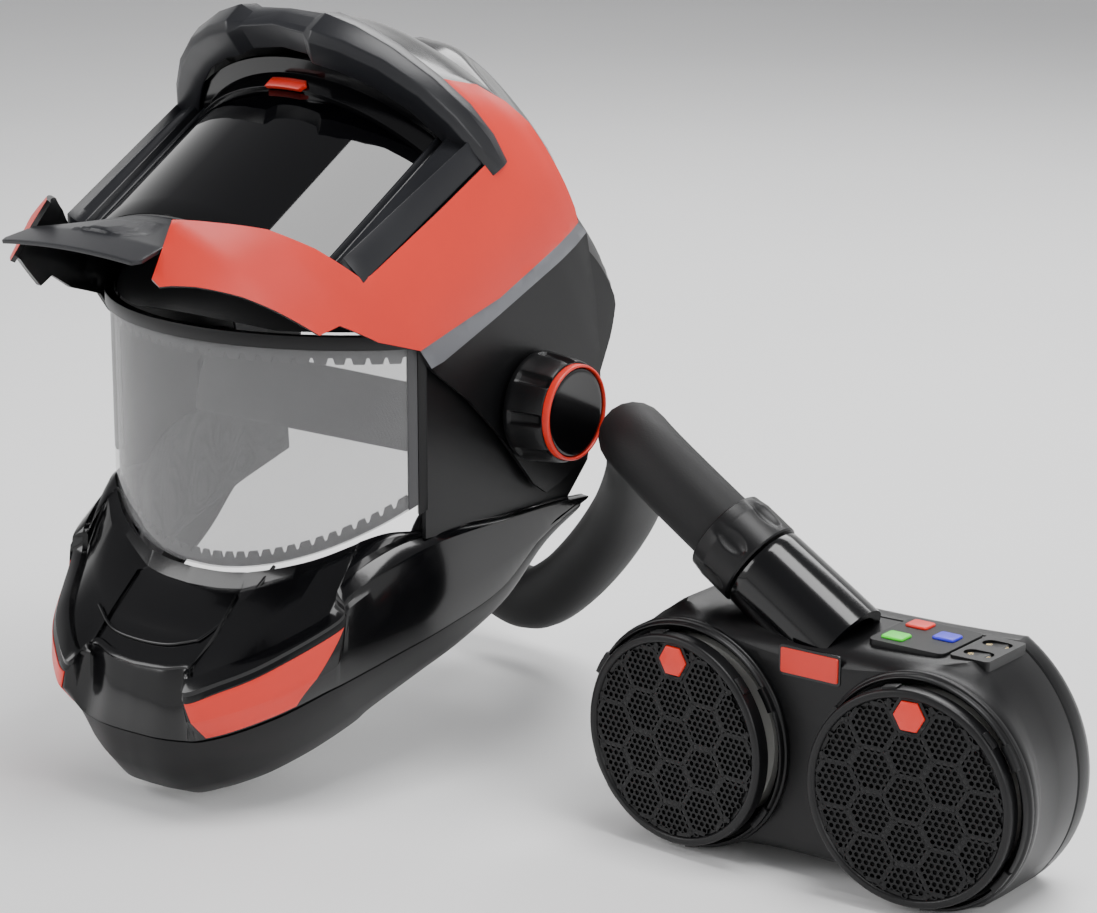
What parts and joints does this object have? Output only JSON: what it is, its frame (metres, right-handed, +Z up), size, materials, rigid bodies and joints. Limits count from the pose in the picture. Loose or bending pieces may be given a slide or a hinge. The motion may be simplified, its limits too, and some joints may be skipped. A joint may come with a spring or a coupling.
{
  "type": "powered air respirator",
  "caption": "Welding helmet with flip-up hood, clear visor and chin guard, joined by a breathing hose to a belt-worn blower with two round filters.",
  "frame": {"origin": "middle of the axis joining the two pivot knobs, between the wearer's temples", "axes": "+X towards the wearer's left, where the blower lies; -Y the wearer's front; +Z up"},
  "size_m": [0.6186, 0.3964, 0.4158],
  "materials": {
    "black_satin": "satin black moulded nylon",
    "black_gloss": "glossy black moulded plastic",
    "red_paint": "satin red-orange lacquer on plastic",
    "silver_paint": "satin grey-silver lacquer",
    "clear": "smoky clear polycarbonate",
    "dark_lens": "dark glossy filter glass",
    "rubber_black": "matte black rubber",
    "foam": "grey woven sweat pad over foam",
    "lining": "fine woven flame-resistant fabric",
    "strap": "dark grey bendable polyethylene",
    "steel": "zinc-plated steel",
    "gold_pin": "gold-plated contact",
    "membrane": "dark grey control membrane",
    "btn_red": "red key",
    "btn_green": "green key",
    "btn_blue": "blue key",
    "filter_media": "pleated white filter paper in a plastic ring",
    "board": "green circuit board",
    "cell_wrap": "blue battery wrap",
    "motor": "motor can",
    "lens_plain": "clear polycarbonate"
  },
  "bodies": {
    "helmet": {"helmet_shell": "black_satin", "pivot_studs": "black_satin", "visor": "clear", "visor_rim": "black_satin", "visor_gasket": "rubber_black", "chin_guard": "black_gloss", "chin_shelf": "black_gloss", "jaw_skirt": "black_satin", "accent_panels": "red_paint", "face_seal": "lining", "air_duct": "black_satin", "hose_inlet": "black_satin", "hose": "rubber_black", "blower_front": "black_satin", "blower_rear": "black_satin", "belt_clip": "black_satin", "particle_filters": "filter_media", "control_plate": "membrane", "socket_panel": "black_satin", "contact_pins": "gold_pin", "label_plate": "red_paint", "outlet_tube": "black_gloss", "fan_housing": "black_satin", "fan_motor": "motor", "battery_pack": "cell_wrap", "circuit_board": "board", "case_screws": "steel"},
    "hood": {"hood_shell": "red_paint", "hood_trim": "silver_paint", "hood_wings": "black_satin", "hood_top": "black_gloss", "hood_brow": "black_satin", "lip_plate": "black_gloss", "filter_housing": "black_satin", "front_lens": "dark_lens", "dark_filter": "dark_lens", "inner_lens": "lens_plain", "lens_clip": "red_paint"},
    "left_knob": {"knob_left": "black_satin", "knob_ring_left": "red_paint", "knob_cap_left": "black_gloss"},
    "right_knob": {"knob_right": "black_satin", "knob_ring_right": "red_paint", "knob_cap_right": "black_gloss"},
    "headgear": {"headband": "strap", "brow_pad": "foam", "crown_straps": "strap", "side_arms": "strap"},
    "rear_cradle": {"rear_band": "strap", "rear_pad": "foam"},
    "ratchet": {"ratchet_knob": "black_satin"},
    "left_cover": {"filter_cover_left": "black_satin"},
    "right_cover": {"filter_cover_right": "black_satin"},
    "left_tab": {"release_tab_left": "red_paint"},
    "right_tab": {"release_tab_right": "red_paint"},
    "power_key": {"power_button": "btn_red"},
    "flow_key": {"flow_button": "btn_green"},
    "alarm_key": {"alarm_button": "btn_blue"},
    "collar": {"hose_collar": "black_gloss"},
    "fan_wheel": {"impeller": "black_satin"}
  },
  "joints": [
    {"name": "hood_lift", "type": "hinge", "parent": "helmet", "child": "hood", "pos_m": [0, 0, 0], "axis": [-1, 0, 0], "range_deg": [-55.5, 0]},
    {"name": "left_knob_turn", "type": "hinge", "parent": "helmet", "child": "left_knob", "pos_m": [0.135, 0, 0], "axis": [1, 0, 0], "range_deg": [-90, 90]},
    {"name": "right_knob_turn", "type": "hinge", "parent": "helmet", "child": "right_knob", "pos_m": [-0.135, 0, 0], "axis": [-1, 0, 0], "range_deg": [-90, 90]},
    {"name": "headgear_tilt", "type": "hinge", "parent": "helmet", "child": "headgear", "pos_m": [0, 0, 0], "axis": [1, 0, 0], "range_deg": [-6, 6]},
    {"name": "rear_slide", "type": "slide", "parent": "headgear", "child": "rear_cradle", "axis": [0, -0.9455, 0.3256], "range_m": [0, 0.015]},
    {"name": "ratchet_turn", "type": "hinge", "parent": "rear_cradle", "child": "ratchet", "pos_m": [0, 0.09485, -0.05397], "axis": [0, 0.9455, -0.3256], "range_deg": [0, 270]},
    {"name": "left_cover_turn", "type": "hinge", "parent": "helmet", "child": "left_cover", "pos_m": [0.4066, -0.075, -0.14], "axis": [0.0698, -0.9976, 0], "range_deg": [0, 25]},
    {"name": "left_tab_press", "type": "slide", "parent": "left_cover", "child": "left_tab", "axis": [-0.0698, 0.9976, 0], "range_m": [0, 0.0015], "stiffness_N_per_m": 200},
    {"name": "right_cover_turn", "type": "hinge", "parent": "helmet", "child": "right_cover", "pos_m": [0.2666, -0.075, -0.14], "axis": [-0.0698, -0.9976, 0], "range_deg": [0, 25]},
    {"name": "right_tab_press", "type": "slide", "parent": "right_cover", "child": "right_tab", "axis": [0.0698, 0.9976, 0], "range_m": [0, 0.0015], "stiffness_N_per_m": 200},
    {"name": "power_press", "type": "slide", "parent": "helmet", "child": "power_key", "axis": [0, 0, -1], "range_m": [0, 0.001], "stiffness_N_per_m": 200},
    {"name": "flow_press", "type": "slide", "parent": "helmet", "child": "flow_key", "axis": [0, 0, -1], "range_m": [0, 0.001], "stiffness_N_per_m": 200},
    {"name": "alarm_press", "type": "slide", "parent": "helmet", "child": "alarm_key", "axis": [0, 0, -1], "range_m": [0, 0.001], "stiffness_N_per_m": 200},
    {"name": "collar_turn", "type": "hinge", "parent": "helmet", "child": "collar", "pos_m": [0.265, -0.028, -0.038], "axis": [-0.8387, 0, 0.5446], "range_deg": [-45, 45]},
    {"name": "fan_spin", "type": "hinge", "parent": "helmet", "child": "fan_wheel", "pos_m": [0.2966, -0.015, -0.134], "axis": [0, 1, 0], "continuous": true}
  ],
  "couplings": [
    {"joint": "ratchet_turn", "follows": "rear_slide", "rad_per_m": 314}
  ]
}
